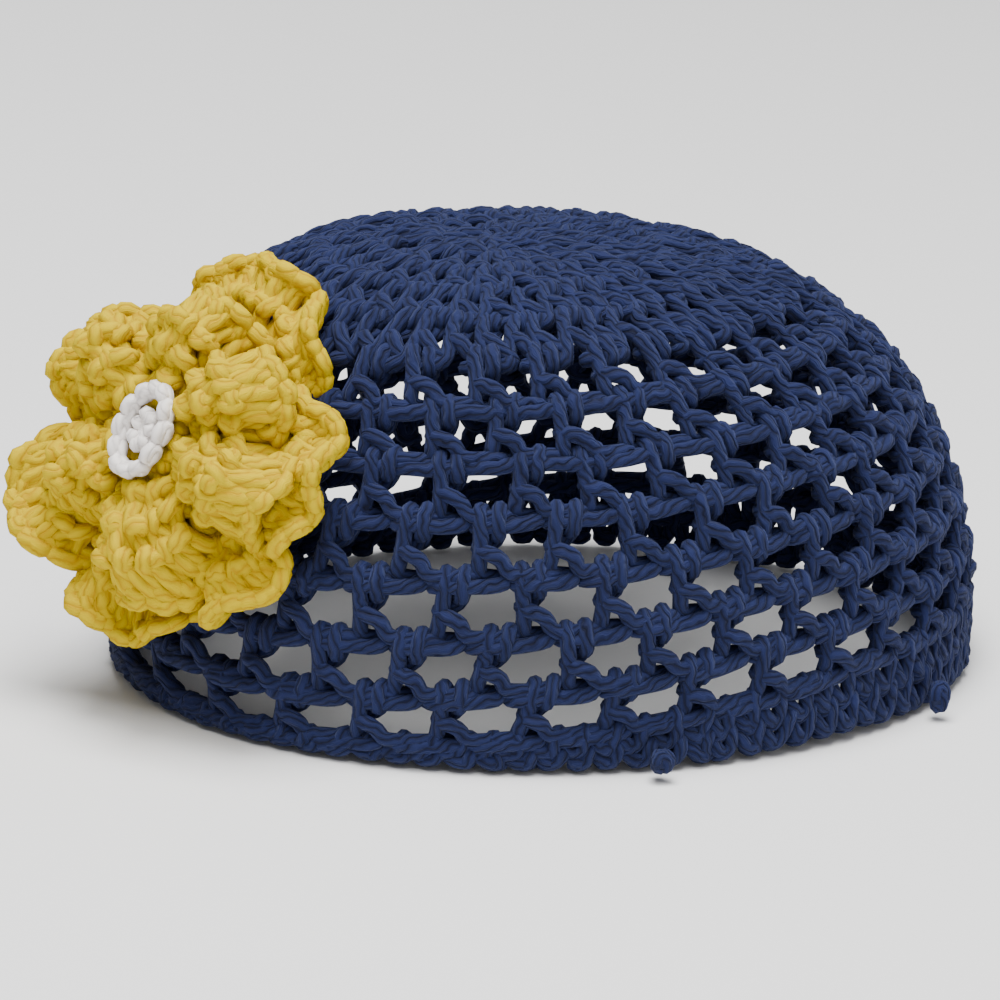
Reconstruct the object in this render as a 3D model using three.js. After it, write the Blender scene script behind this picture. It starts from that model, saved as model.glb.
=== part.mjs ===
// Crochet beanie with a flower, standing on its hem.
// Millimetres, +Z up, the wearer's face towards -Y and the wearer's left side towards +X.
// The hat is a knitted wall of even thickness: every piece of it is a thin sheet of points just
// inside a guiding dome, thickened along the dome's normal. The angle "turn" runs from the middle of the front (0)
// to the wearer's left (90 degrees) and on round the back.
import * as THREE from 'three';

// ---------- driving dimensions ----------

const hat = {
  halfLength: 99,       // front to back, at the hem, to the guiding dome
  halfWidth: 78.6,      // side to side
  height: 95.3,
  crownForward: 16.6,   // the top sits this far in front of the hem's middle
  wall: 5,              // thickness of the fabric
  inset: 2.5,           // the middle of the wall is this far inside the guiding dome
  gap: 0.3,             // between pieces that touch
  drawnIn: 3.8,         // the front of the hem is drawn in by this,
  drawnBelow: 46,       // less and less up to this height
};

// How the wall leaves the vertical and how full its shoulder is, at the front and at the back.
const profile = { frontRise: 1.42, backRise: 3.05, frontFullness: 3.46, backFullness: 3.02 };

// Rounds of the open net from the top down. height is at the sides, to the middle of the openings;
// the round lies "dip" lower at the front and "climb" higher at the back. tall is how high its
// openings are along the wall, columns counts them, and start places the first of them, in columns
// from the middle of the front.
const rounds = [
  { height: 81, dip: 5, climb: 2, tall: 7, columns: 29, start: 0.54 },
  { height: 71.5, dip: 5, climb: 4.5, tall: 7.4, columns: 31, start: 0.05 },
  { height: 61.3, dip: 6, climb: 5.5, tall: 7.8, columns: 31, start: 0.19 },
  { height: 50, dip: 7, climb: 6.5, tall: 8, columns: 31, start: 0.62 },
  { height: 37.6, dip: 8.3, climb: 7.5, tall: 8, columns: 31, start: 0.14 },
  { height: 25.8, dip: 8.6, climb: 8, tall: 8, columns: 31, start: 0.64 },
  { height: 14.6, dip: 7.4, climb: 7.5, tall: 6, columns: 31, start: 0.14 },
];
const hemRound = { height: 0, dip: 0, climb: 0 };
const postWidth = 6.3;
const topBar = 2;         // fabric above the first openings, up to the crown
const bottomBar = 1.5;    // fabric under the last openings, down to the edging

// The hem lifts off the ground over the ears and a little at the front.
const hemArches = [
  { at: 112, halfWidth: 46, rise: 3.2 },
  { at: 0, halfWidth: 34, rise: 2.6 },
];
const archFade = 58;      // height at which the arches no longer show

const crownRings = [1, 0.84, 0.66, 0.46, 0.24];   // shares of the crown's reach
const crownColumns = 52;
const hemColumns = 62;
const outerRings = [0.3, 0.55, 0.8, 1];           // shares of a petal's reach
const outerColumns = 72;
const innerRings = [0.22, 0.45, 0.72, 1];
const innerColumns = 60;
const centreColumns = 28;

// The flower sits just to the left of the middle of the front, square to the hat.
const flower = {
  turn: 13, height: 58.3,
  thickness: 4,
  coreHeight: 14,       // the middle of the inner petals, above the hat
  hugAcross: 126,       // the hat falls away sideways by u squared over this
  hugAbove: 110, hugBelow: 380,
};

// angle is measured in the flower's plane from the wearer's left towards the top, in degrees.
// reach is the petal's length from the middle, lift how far its tip stands off the hat, and notch
// how far out it parts from the next petal round.
const outerPetals = [
  { angle: -12, reach: 37, lift: 11, notch: 22 },
  { angle: 94, reach: 41, lift: 6, notch: 24 },
  { angle: 168, reach: 40, lift: 23, notch: 32 },
  { angle: 214, reach: 45, lift: 24, notch: 38 },
  { angle: 258, reach: 44, lift: 7, notch: 35 },
  { angle: 318, reach: 40, lift: 8, notch: 33 },
];
const innerPetals = [
  { angle: -8, reach: 33, lift: -4, notch: 18 },
  { angle: 38, reach: 31, lift: -4, notch: 18 },
  { angle: 92, reach: 32, lift: -1, notch: 17 },
  { angle: 152, reach: 34, lift: 1, notch: 18 },
  { angle: 212, reach: 33, lift: 0, notch: 20 },
  { angle: 280, reach: 36, lift: -2, notch: 20 },
];
const followHat = 0.9;    // the outer petals fall back by this share of the hat's own curve
const fullLift = 43;      // how far out an outer petal stands off by its whole lift
const petalFullness = 0.6;    // lower is squarer
const innerCrest = 5;     // the inner petals swell by this between the centre's seat and their tips
const innerValley = 5;    // how far the surface sinks between two inner petals
const innerClear = 0.9;   // between the two layers of petals, facets included
const thinnest = 2;       // of an inner petal
const centreSeat = 10;    // radius of the level place under the centre
const centre = { halfWidth: 7, halfHeight: 10.6, depth: 4.6, lean: 12 };
const clearSeat = 0.5;    // the seat's facets rise a little at its edge
// the centre is a cushion: its half-thickness, in shares of its depth, from the middle outwards
const centreMiddle = 0.26;
const centreRims = [
  { share: 0.35, half: 0.3 },
  { share: 0.75, half: 0.5 },
  { share: 1, half: 0.28 },
];

const knot = { turn: 83, radius: 3.2 };
const tail = { turn: 128, radius: 2.6, length: 9 };
const hemFacets = 0.15;   // the hem's facets stand out by this from its true curve

const yarn = { navy: 0x26356b, yellow: 0xf7d60d, white: 0xece8e2 };

// ---------- the dome ----------

const rad = THREE.MathUtils.degToRad;
const fullTurn = 2 * Math.PI;

function mixFrontBack(turn, front, back) {
  return (front + back) / 2 + ((front - back) / 2) * Math.cos(turn);
}

function spreadAt(turn, z) {
  const rise = mixFrontBack(turn, profile.frontRise, profile.backRise);
  const fullness = mixFrontBack(turn, profile.frontFullness, profile.backFullness);
  const share = Math.min(Math.max(z / hat.height, 0), 1);
  return Math.pow(1 - Math.pow(share, rise), 1 / fullness);
}

function heightAt(turn, spread) {
  const rise = mixFrontBack(turn, profile.frontRise, profile.backRise);
  const fullness = mixFrontBack(turn, profile.frontFullness, profile.backFullness);
  return hat.height * Math.pow(1 - Math.pow(spread, fullness), 1 / rise);
}

function domePoint(turn, z) {
  const spread = spreadAt(turn, z);
  const drawn = Math.max(1 - z / hat.drawnBelow, 0) ** 1.5 * Math.max(Math.cos(turn), 0);
  const forward = hat.crownForward * (z / hat.height) ** 2 - hat.drawnIn * drawn;
  return new THREE.Vector3(
    hat.halfWidth * spread * Math.sin(turn),
    -hat.halfLength * spread * Math.cos(turn) - forward,
    z,
  );
}

function domeNormal(turn, z) {
  const step = 0.01;
  const low = Math.max(z - step, 0);
  const across = domePoint(turn + step, z).sub(domePoint(turn - step, z));
  const upward = domePoint(turn, low + 2 * step).sub(domePoint(turn, low));
  return across.cross(upward).normalize();
}

function archAt(turn) {
  const side = Math.abs(Math.atan2(Math.sin(turn), Math.cos(turn)));
  return hemArches.reduce((sum, arch) => {
    const off = Math.min(Math.abs(side - rad(arch.at)) / rad(arch.halfWidth), 1);
    return sum + arch.rise * (0.5 + 0.5 * Math.cos(Math.PI * off));
  }, 0);
}

// Height of a round's line at a turn, moved "up" along the wall and arched with the hem.
function lineHeight(round, turn, up = 0) {
  const tilt = mixFrontBack(turn, round.dip, round.climb) * Math.cos(turn);
  const fade = Math.max(1 - round.height / archFade, 0);
  const z = round.height - tilt + archAt(turn) * fade;
  const steepness = Math.hypot(domeNormal(turn, z).x, domeNormal(turn, z).y);
  return z + up * steepness;
}

// Angles at even steps of length along a round, so that its columns are all as wide.
function evenTurns(round, shares) {
  const samples = 720;
  const lengths = [0];
  let last = null;
  for (let i = 0; i <= samples; i += 1) {
    const turn = (fullTurn * i) / samples;
    const point = domePoint(turn, lineHeight(round, turn));
    if (last) lengths.push(lengths[i - 1] + point.distanceTo(last));
    last = point;
  }
  const total = lengths[samples];
  return {
    length: total,
    turns: shares.map((share) => {
      const wanted = (share - Math.floor(share)) * total;
      let i = 1;
      while (lengths[i] < wanted) i += 1;
      const part = (wanted - lengths[i - 1]) / (lengths[i] - lengths[i - 1]);
      return (fullTurn * (i - 1 + part)) / samples;
    }),
  };
}

// ---------- sheets of points, thickened into solids ----------

// A sheet is a list of vertices, each with its point and the half-thickness vector "out", and a
// list of triangles seen from outside. Open edges get a strip that joins the two faces.
class Sheet {
  constructor() {
    this.vertices = [];
    this.faces = [];
  }

  add(point, out) {
    this.vertices.push({ point, out });
    return this.vertices.length - 1;
  }

  quad(a, b, c, d) {
    this.faces.push([a, b, c], [a, c, d]);
  }

  // Joins two closed rings, the lower one first. Each ring lists { turn, id } by rising turn.
  zip(lower, upper) {
    const turnOf = (ring, i) => ring[i % ring.length].turn + (i >= ring.length ? fullTurn : 0);
    let i = 0;
    let j = 0;
    while (i < lower.length || j < upper.length) {
      const a = lower[i % lower.length].id;
      const b = upper[j % upper.length].id;
      const middleLower = turnOf(lower, i) + turnOf(lower, i + 1);
      const middleUpper = turnOf(upper, j) + turnOf(upper, j + 1);
      if (j >= upper.length || (i < lower.length && middleLower < middleUpper)) {
        this.faces.push([a, lower[(i + 1) % lower.length].id, b]);
        i += 1;
      } else {
        this.faces.push([a, upper[(j + 1) % upper.length].id, b]);
        j += 1;
      }
    }
  }

  solid() {
    const count = this.vertices.length;
    const positions = [];
    for (const side of [1, -1]) {
      for (const { point, out } of this.vertices) {
        positions.push(...point.clone().addScaledVector(out, side).toArray());
      }
    }
    const index = [];
    const edges = new Set(this.faces.flatMap(([a, b, c]) => [`${a},${b}`, `${b},${c}`, `${c},${a}`]));
    for (const [a, b, c] of this.faces) {
      index.push(a, b, c, a + count, c + count, b + count);
      for (const [p, q] of [[a, b], [b, c], [c, a]]) {
        if (!edges.has(`${q},${p}`)) {
          index.push(q, p, p + count, q, p + count, q + count);
        }
      }
    }
    const geometry = new THREE.BufferGeometry();
    geometry.setAttribute('position', new THREE.Float32BufferAttribute(positions, 3));
    geometry.setIndex(index);
    geometry.computeVertexNormals();
    return geometry;
  }
}

// Adds a ring of wall points at the given turns; heightOf gives each point's height.
function wallRing(sheet, turns, heightOf) {
  const ring = turns.map((turn) => {
    const z = heightOf(turn);
    const out = domeNormal(turn, z);
    if (z < hat.height / 10) out.setZ(0).normalize();
    const point = domePoint(turn, z).addScaledVector(out, -hat.inset);
    return { turn, id: sheet.add(point, out.multiplyScalar(hat.wall / 2)) };
  });
  const first = ring.reduce((best, entry, i) => (entry.turn < ring[best].turn ? i : best), 0);
  return [...ring.slice(first), ...ring.slice(0, first)];
}

const lastRound = rounds[rounds.length - 1];
const crownLine = (turn) => lineHeight(rounds[0], turn, rounds[0].tall / 2 + topBar);
const edgingLine = (turn) => lineHeight(lastRound, turn, -lastRound.tall / 2 - bottomBar);

const evenShares = (count) => Array.from({ length: count }, (_, i) => i / count);
const crownTurns = evenTurns(rounds[0], evenShares(crownColumns)).turns;
const hemTurns = evenTurns(hemRound, evenShares(hemColumns)).turns;

// ---------- the hat ----------

function netGeometry() {
  const sheet = new Sheet();
  const half = hat.gap / 2;
  let above = wallRing(sheet, crownTurns, (turn) => crownLine(turn) - half);
  for (const round of rounds) {
    const { tall, columns, start } = round;
    const { length } = evenTurns(round, [0]);
    const halfOpening = (length / columns - postWidth) / 2 / length;
    // two corners for each opening: its right edge and its left edge, as shares of the round
    const corners = [];
    for (let i = 0; i < columns; i += 1) {
      const middle = (i + start) / columns;
      corners.push(middle - halfOpening, middle + halfOpening);
    }
    const { turns } = evenTurns(round, corners);
    const edge = (side) => {
      const heightOf = (turn) => lineHeight(round, turn, (side * tall) / 2);
      const ids = new Map();
      const ring = wallRing(sheet, turns, heightOf);
      for (const entry of ring) ids.set(entry.turn, entry.id);
      return { ring, ids: turns.map((turn) => ids.get(turn)) };
    };
    const top = edge(1);
    const bottom = edge(-1);
    sheet.zip(top.ring, above);
    for (let i = 0; i < columns; i += 1) {
      const left = 2 * i + 1;
      const right = (2 * i + 2) % (2 * columns);
      sheet.quad(bottom.ids[left], bottom.ids[right], top.ids[right], top.ids[left]);
    }
    above = bottom.ring;
  }
  sheet.zip(wallRing(sheet, hemTurns, (turn) => edgingLine(turn) + half), above);
  return sheet.solid();
}

function crownGeometry() {
  const sheet = new Sheet();
  const half = hat.gap / 2;
  const startSpread = (turn) => spreadAt(turn, crownLine(turn) + half);
  const rings = crownRings.map((share) =>
    wallRing(sheet, crownTurns, (turn) => heightAt(turn, startSpread(turn) * share)));
  for (let i = 1; i < rings.length; i += 1) sheet.zip(rings[i - 1], rings[i]);
  const top = new THREE.Vector3(0, -hat.crownForward, hat.height - hat.inset);
  const apex = sheet.add(top, new THREE.Vector3(0, 0, hat.wall / 2));
  const last = rings[rings.length - 1];
  last.forEach(({ id }, i) => sheet.faces.push([id, last[(i + 1) % last.length].id, apex]));
  return sheet.solid();
}

function hemGeometry() {
  const sheet = new Sheet();
  const upper = wallRing(sheet, hemTurns, (turn) => edgingLine(turn) - hat.gap / 2);
  const lower = wallRing(sheet, hemTurns, archAt);
  sheet.zip(lower, upper);
  return sheet.solid();
}

// ---------- the flower ----------

const seatTurn = rad(flower.turn);
const seatNormal = domeNormal(seatTurn, flower.height);
const seatPoint = domePoint(seatTurn, flower.height).addScaledVector(seatNormal, hat.wall / 2);
const seatAcross = new THREE.Vector3(-seatNormal.y, seatNormal.x, 0).normalize();
const seatUp = seatNormal.clone().cross(seatAcross);

// u runs towards the wearer's left, v up, w away from the hat.
function flowerPoint(u, v, w) {
  return seatPoint.clone()
    .addScaledVector(seatAcross, u)
    .addScaledVector(seatUp, v)
    .addScaledVector(seatNormal, w);
}

function hatFall(u, v) {
  return (u * u) / flower.hugAcross + (v * v) / (v > 0 ? flower.hugAbove : flower.hugBelow);
}

// The petal that holds a direction: its outline there, its lift, and its share of the way from the
// petal's middle (0) to the notch (1).
function petalAt(petals, angle) {
  const turnBetween = (a, b) => Math.atan2(Math.sin(a - b), Math.cos(a - b));
  const near = petals
    .map((petal, i) => ({ petal, i, off: turnBetween(angle, rad(petal.angle)) }))
    .sort((a, b) => Math.abs(a.off) - Math.abs(b.off));
  const [first, second] = near;
  const nearness = Math.abs(first.off) / (Math.abs(first.off) + Math.abs(second.off));
  const before = (first.i + 1) % petals.length === second.i ? first.petal : second.petal;
  const bulge = Math.pow(1 - (2 * nearness) ** 2, petalFullness);
  return {
    outline: before.notch + (first.petal.reach - before.notch) * bulge,
    lift: THREE.MathUtils.lerp(first.petal.lift, second.petal.lift, nearness),
    toNotch: 2 * nearness,
  };
}

function outerHeight(u, v) {
  const share = Math.hypot(u, v) / fullLift;
  const { lift } = petalAt(outerPetals, Math.atan2(v, u));
  const rest = flower.thickness / 2 + hat.gap - hat.inset * Math.max(1 - share ** 2, 0);
  return rest - followHat * hatFall(u, v) + lift * share ** 2;
}

function petalSolid(petals, rings, columns, faceHeights) {
  const sheet = new Sheet();
  const vertexAt = (u, v) => {
    const { top, bottom } = faceHeights(u, v);
    const out = seatNormal.clone().multiplyScalar((top - bottom) / 2);
    return sheet.add(flowerPoint(u, v, (top + bottom) / 2), out);
  };
  const middle = vertexAt(0, 0);
  let inside = null;
  for (const share of rings) {
    const ring = [];
    for (let i = 0; i < columns; i += 1) {
      const angle = (fullTurn * i) / columns;
      const radius = petalAt(petals, angle).outline * share;
      ring.push(vertexAt(radius * Math.cos(angle), radius * Math.sin(angle)));
    }
    for (let i = 0; i < columns; i += 1) {
      const next = (i + 1) % columns;
      if (inside) sheet.quad(inside[i], ring[i], ring[next], inside[next]);
      else sheet.faces.push([middle, ring[i], ring[next]]);
    }
    inside = ring;
  }
  return sheet.solid();
}

function outerPetalGeometry() {
  return petalSolid(outerPetals, outerRings, outerColumns, (u, v) => {
    const height = outerHeight(u, v);
    return { top: height + flower.thickness / 2, bottom: height - flower.thickness / 2 };
  });
}

function innerTop(u, v) {
  const { outline, lift, toNotch } = petalAt(innerPetals, Math.atan2(v, u));
  const outside = (Math.hypot(u, v) - centreSeat) / (outline - centreSeat);
  const share = THREE.MathUtils.clamp(outside, 0, 1);
  const crest = innerCrest * Math.sin(Math.PI * share);
  return flower.coreHeight + crest + lift * share ** 2 - innerValley * toNotch ** 2 * share;
}

function innerPetalGeometry() {
  return petalSolid(innerPetals, innerRings, innerColumns, (u, v) => {
    const top = innerTop(u, v);
    const floor = outerHeight(u, v) + flower.thickness / 2 + innerClear;
    const bottom = Math.max(floor, top - flower.thickness);
    return { top: Math.max(top, bottom + thinnest), bottom };
  });
}

function centreGeometry() {
  const sheet = new Sheet();
  const lean = rad(centre.lean);
  const base = innerTop(0, 0) + hat.gap + clearSeat;
  const vertexAt = (share, half, angle) => {
    const across = centre.halfWidth * share * Math.cos(angle);
    const along = centre.halfHeight * share * Math.sin(angle);
    const u = across * Math.cos(lean) + along * Math.sin(lean);
    const v = along * Math.cos(lean) - across * Math.sin(lean);
    const out = seatNormal.clone().multiplyScalar(centre.depth * half);
    return sheet.add(flowerPoint(u, v, base + centre.depth / 2), out);
  };
  const middle = vertexAt(0, centreMiddle, 0);
  let inside = null;
  for (const { share, half } of centreRims) {
    const ring = evenShares(centreColumns).map((part) => vertexAt(share, half, part * fullTurn));
    ring.forEach((id, i) => {
      const next = (i + 1) % centreColumns;
      if (inside) sheet.quad(inside[i], id, ring[next], inside[next]);
      else sheet.faces.push([middle, id, ring[next]]);
    });
    inside = ring;
  }
  return sheet.solid();
}

// ---------- the yarn ends at the hem ----------

function outsideHem(turnDegrees, radius) {
  const turn = rad(turnDegrees);
  const z = archAt(turn) + radius + hat.gap;
  const off = hat.wall / 2 - hat.inset + hat.gap + hemFacets + radius;
  return domePoint(turn, z).addScaledVector(domeNormal(turn, 0), off);
}

function knotGeometry() {
  return new THREE.SphereGeometry(knot.radius, 16, 10);
}

function tailGeometry() {
  return new THREE.CapsuleGeometry(tail.radius, tail.length - 2 * tail.radius, 5, 14);
}

// ---------- the scene graph ----------

const group = new THREE.Group();

function addPiece(name, geometry, color, roughness) {
  const material = new THREE.MeshStandardMaterial({ color, roughness, metalness: 0 });
  const mesh = new THREE.Mesh(geometry, material);
  mesh.name = name;
  group.add(mesh);
  return mesh;
}

addPiece('crown', crownGeometry(), yarn.navy, 0.85);
addPiece('mesh_body', netGeometry(), yarn.navy, 0.85);
addPiece('hem_band', hemGeometry(), yarn.navy, 0.85);
addPiece('flower_outer_petals', outerPetalGeometry(), yarn.yellow, 0.9);
addPiece('flower_inner_petals', innerPetalGeometry(), yarn.yellow, 0.9);
addPiece('flower_centre', centreGeometry(), yarn.white, 0.9);
addPiece('hem_knot', knotGeometry(), yarn.navy, 0.85).position.copy(outsideHem(knot.turn, knot.radius));

const tailMesh = addPiece('hem_tail', tailGeometry(), yarn.navy, 0.85);
tailMesh.position.copy(outsideHem(tail.turn, tail.radius));
tailMesh.rotation.set(Math.PI / 2, 0, rad(tail.turn), 'ZYX');

// The origin is the middle of the box that holds the hat and its flower, on the ground.
group.updateMatrixWorld(true);
const extent = new THREE.Box3().setFromObject(group, true);
const middle = extent.getCenter(new THREE.Vector3());
group.position.set(-middle.x, -middle.y, -extent.min.z);

export default group;
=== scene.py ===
import math

import bpy
import numpy as np
from mathutils import Matrix, Vector


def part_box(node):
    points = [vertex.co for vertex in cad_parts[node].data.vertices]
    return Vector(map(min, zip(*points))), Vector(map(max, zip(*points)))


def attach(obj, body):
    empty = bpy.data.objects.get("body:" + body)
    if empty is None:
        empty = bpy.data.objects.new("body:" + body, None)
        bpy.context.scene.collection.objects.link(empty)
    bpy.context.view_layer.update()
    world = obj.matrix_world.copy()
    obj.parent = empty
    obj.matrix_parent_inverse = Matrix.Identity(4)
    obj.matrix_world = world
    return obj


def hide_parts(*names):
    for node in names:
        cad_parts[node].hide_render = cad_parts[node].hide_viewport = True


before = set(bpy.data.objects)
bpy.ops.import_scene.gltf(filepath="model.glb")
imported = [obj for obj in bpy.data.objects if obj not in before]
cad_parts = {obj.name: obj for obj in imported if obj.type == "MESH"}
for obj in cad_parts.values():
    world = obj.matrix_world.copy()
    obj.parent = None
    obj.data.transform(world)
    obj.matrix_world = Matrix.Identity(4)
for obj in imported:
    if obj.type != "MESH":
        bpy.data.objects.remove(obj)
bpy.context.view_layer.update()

mm = 0.001
fullTurn = 2 * math.pi


# the dome, as the walls of the hat follow it; millimetres around the hem's middle

hat = {
    "halfLength": 99.0,
    "halfWidth": 78.6,
    "height": 95.3,
    "crownForward": 16.6,
    "wall": 5.0,
    "inset": 2.5,
    "gap": 0.3,
    "drawnIn": 3.8,
    "drawnBelow": 46.0,
    "frontRise": 1.42,
    "backRise": 3.05,
    "frontFullness": 3.46,
    "backFullness": 3.02,
    "archFade": 58.0,
}

# the hem lifts over the ears and a little at the front: turn, half width and rise
hemArches = [
    {"at": 112, "halfWidth": 46, "rise": 3.2},
    {"at": 0, "halfWidth": 34, "rise": 2.6},
]

# rounds of the open net from the top down, at the middle of their openings
netRounds = [
    {"height": 81.0, "dip": 5.0, "climb": 2.0, "columns": 29, "start": 0.54},
    {"height": 71.5, "dip": 5.0, "climb": 4.5, "columns": 31, "start": 0.05},
    {"height": 61.3, "dip": 6.0, "climb": 5.5, "columns": 31, "start": 0.19},
    {"height": 50.0, "dip": 7.0, "climb": 6.5, "columns": 31, "start": 0.62},
    {"height": 37.6, "dip": 8.3, "climb": 7.5, "columns": 31, "start": 0.14},
    {"height": 25.8, "dip": 8.6, "climb": 8.0, "columns": 31, "start": 0.64},
    {"height": 14.6, "dip": 7.4, "climb": 7.5, "columns": 31, "start": 0.14},
]

hemLow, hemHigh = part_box("hem_band")
hatMiddle = Vector(((hemLow.x + hemHigh.x) / 2, hemHigh.y - hat["halfLength"] * mm, 0))


def mixFrontBack(turn, front, back):
    return (front + back) / 2 + (front - back) / 2 * np.cos(turn)


def domePoint(turn, z):
    rise = mixFrontBack(turn, hat["frontRise"], hat["backRise"])
    fullness = mixFrontBack(turn, hat["frontFullness"], hat["backFullness"])
    share = np.clip(z / hat["height"], 0, 1)
    spread = (1 - share**rise) ** (1 / fullness)
    x = hat["halfWidth"] * spread * np.sin(turn)
    drawn = hat["drawnIn"] * np.maximum(1 - z / hat["drawnBelow"], 0) ** 1.5 * np.maximum(np.cos(turn), 0)
    y = drawn - hat["halfLength"] * spread * np.cos(turn) - hat["crownForward"] * share**2
    return np.stack([x, y, z + 0 * turn], -1)


def domeHeight(turn, spread):
    rise = mixFrontBack(turn, hat["frontRise"], hat["backRise"])
    fullness = mixFrontBack(turn, hat["frontFullness"], hat["backFullness"])
    return hat["height"] * (1 - spread**fullness) ** (1 / rise)


def domeSpread(turn, z):
    rise = mixFrontBack(turn, hat["frontRise"], hat["backRise"])
    fullness = mixFrontBack(turn, hat["frontFullness"], hat["backFullness"])
    return (1 - np.clip(z / hat["height"], 0, 1) ** rise) ** (1 / fullness)


def domeNormal(turn, z):
    step = 0.01
    low = np.maximum(z - step, 0)
    across = domePoint(turn + step, z) - domePoint(turn - step, z)
    upward = domePoint(turn, low + 2 * step) - domePoint(turn, low)
    normal = np.cross(across, upward)
    return normal / np.linalg.norm(normal, axis=-1, keepdims=True)


def archAt(turn):
    side = np.abs(np.arctan2(np.sin(turn), np.cos(turn)))
    rise = 0
    for arch in hemArches:
        off = np.abs(side - math.radians(arch["at"])) / math.radians(arch["halfWidth"])
        rise = rise + arch["rise"] * (0.5 + 0.5 * np.cos(np.pi * np.minimum(off, 1)))
    return rise


def roundHeight(row, turn, up=0.0):
    tilt = mixFrontBack(turn, row["dip"], row["climb"]) * np.cos(turn)
    z = row["height"] - tilt + archAt(turn) * max(1 - row["height"] / hat["archFade"], 0)
    normal = domeNormal(turn, z)
    return z + up * np.hypot(normal[..., 0], normal[..., 1])


# the guide: one mesh on the dome whose UV map says where a stitch goes.
# u runs once round the hat from the front, v counts the bars of the net from the crown's middle

guide = {
    "crownRounds": 5,
    "columns": 248,
    "fine": 4,
    "topBar": 5.6,
    "lastBar": 4.6,
    "hemRounds": 2,
    "hemClear": 2.4,
    "overrun": 2,
}
firstBar = guide["crownRounds"]
lastBar = firstBar + len(netRounds)
hemLine = lastBar + guide["hemRounds"]


def barHeight(bar, turn):
    if bar == firstBar:
        return roundHeight(netRounds[0], turn, guide["topBar"])
    if bar < lastBar:
        above = netRounds[bar - firstBar - 1]
        below = netRounds[bar - firstBar]
        return (roundHeight(above, turn) + roundHeight(below, turn)) / 2
    last = roundHeight(netRounds[-1], turn, -guide["lastBar"])
    hem = np.maximum(archAt(turn), guide["hemClear"])
    return last + (hem - last) * (bar - lastBar) / guide["hemRounds"]


def linePoint(v, turn):
    if v < firstBar:
        spread = domeSpread(turn, barHeight(firstBar, turn)) * v / firstBar
        return domePoint(turn, domeHeight(turn, spread))
    low = min(int(v), hemLine - 1)
    top = barHeight(low, turn)
    return domePoint(turn, top + (barHeight(low + 1, turn) - top) * (v - low))


def evenlyRound(pointsOf, count):
    turn = np.linspace(0, fullTurn, 1441)
    steps = np.linalg.norm(np.diff(pointsOf(turn), axis=0), axis=1)
    length = np.concatenate([[0], np.cumsum(steps)])
    if length[-1] == 0:
        return np.linspace(0, fullTurn, count + 1), 0.0
    return np.interp(np.linspace(0, length[-1], count + 1), length, turn), length[-1]


def gridMesh(name, rows, us, vs):
    count = len(us)
    points = np.concatenate(rows) * mm + np.array(hatMiddle)
    faces = []
    for r in range(len(vs) - 1):
        for c in range(count - 1):
            a = r * count + c
            faces.append((a, a + count, a + count + 1, a + 1))
    mesh = bpy.data.meshes.new(name)
    mesh.from_pydata(points.tolist(), [], faces)
    uvMap = mesh.uv_layers.new(name="guideUV")
    corners = np.zeros(len(mesh.loops), int)
    mesh.loops.foreach_get("vertex_index", corners)
    uv = np.stack([np.asarray(us)[corners % count], np.asarray(vs)[corners // count]], -1)
    uvMap.data.foreach_set("uv", uv.astype(np.float32).ravel())
    mesh.shade_smooth()
    piece = bpy.data.objects.new(name, mesh)
    bpy.context.scene.collection.objects.link(piece)
    piece.hide_render = True
    return piece


def hatGuide():
    vs = np.arange(0, hemLine * guide["fine"] + guide["overrun"] + 1) / guide["fine"]
    rows = []
    for v in vs:
        turns, _ = evenlyRound(lambda t: linePoint(v, t), guide["columns"])
        rows.append(linePoint(v, turns))
    return gridMesh("hatGuide", rows, np.linspace(0, 1, guide["columns"] + 1), vs)


def barLength(v):
    return evenlyRound(lambda t: linePoint(v, t), 8)[1]


# the flower's seat on the hat: across runs to the wearer's left, up to the crown, and out away

flower = {
    "turn": 13.0,
    "height": 58.3,
    "thickness": 4.0,
    "coreHeight": 14.0,
    "hugAcross": 126.0,
    "hugAbove": 110.0,
    "hugBelow": 380.0,
    "followHat": 0.9,
    "fullLift": 43.0,
    "petalFullness": 0.6,
    "innerCrest": 5.0,
    "centreSeat": 10.0,
    "columns": 240,
    "fine": 4,
    "rimInside": 2.5,
    "overhang": 8.0,
    "valleyStart": 0.6,
    "curlFrom": 0.8,
}

# petals: angle in degrees from across towards up, reach from the middle, lift of the tip, and
# where the petal parts from the next one
outerLayer = {
    "petals": [(-12, 37, 11, 22), (94, 41, 6, 24), (168, 40, 23, 32), (214, 45, 24, 38), (258, 44, 7, 35),
               (318, 40, 8, 33)],
    "start": 10.0,
    "rows": 4,
    "valley": 5.0,
    "ruffle": 2.8,
    "waves": 13,
    "curl": 30.0,
}
innerLayer = {
    "petals": [(-8, 33, -4, 18), (38, 31, -4, 18), (92, 32, -1, 17), (152, 34, 1, 18), (212, 33, 0, 20),
               (280, 36, -2, 20)],
    "start": 6.0,
    "rows": 4,
    "valley": 14.0,
    "ruffle": 2.0,
    "waves": 11,
    "curl": 90.0,
}

seatTurn = np.array([math.radians(flower["turn"])])
seatNormal = domeNormal(seatTurn, flower["height"])[0]
seatPoint = domePoint(seatTurn, flower["height"])[0] + seatNormal * hat["wall"] / 2
seatAcross = np.array([-seatNormal[1], seatNormal[0], 0])
seatAcross = seatAcross / np.linalg.norm(seatAcross)
seatUp = np.cross(seatNormal, seatAcross)


def petalAt(layer, angle):
    petals = layer["petals"]
    spots = np.radians([petal[0] for petal in petals])
    off = np.abs(np.arctan2(np.sin(angle - spots), np.cos(angle - spots)))
    first, second = np.argsort(off)[:2]
    near = off[first] / (off[first] + off[second])
    bulge = (1 - (2 * near) ** 2) ** flower["petalFullness"]
    _, reach, lift, notch = petals[first]
    if (first + 1) % len(petals) != second:
        notch = petals[second][3]
    lift = lift + (petals[second][2] - lift) * near
    return near * 2, notch + (reach - notch) * bulge, lift


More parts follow.
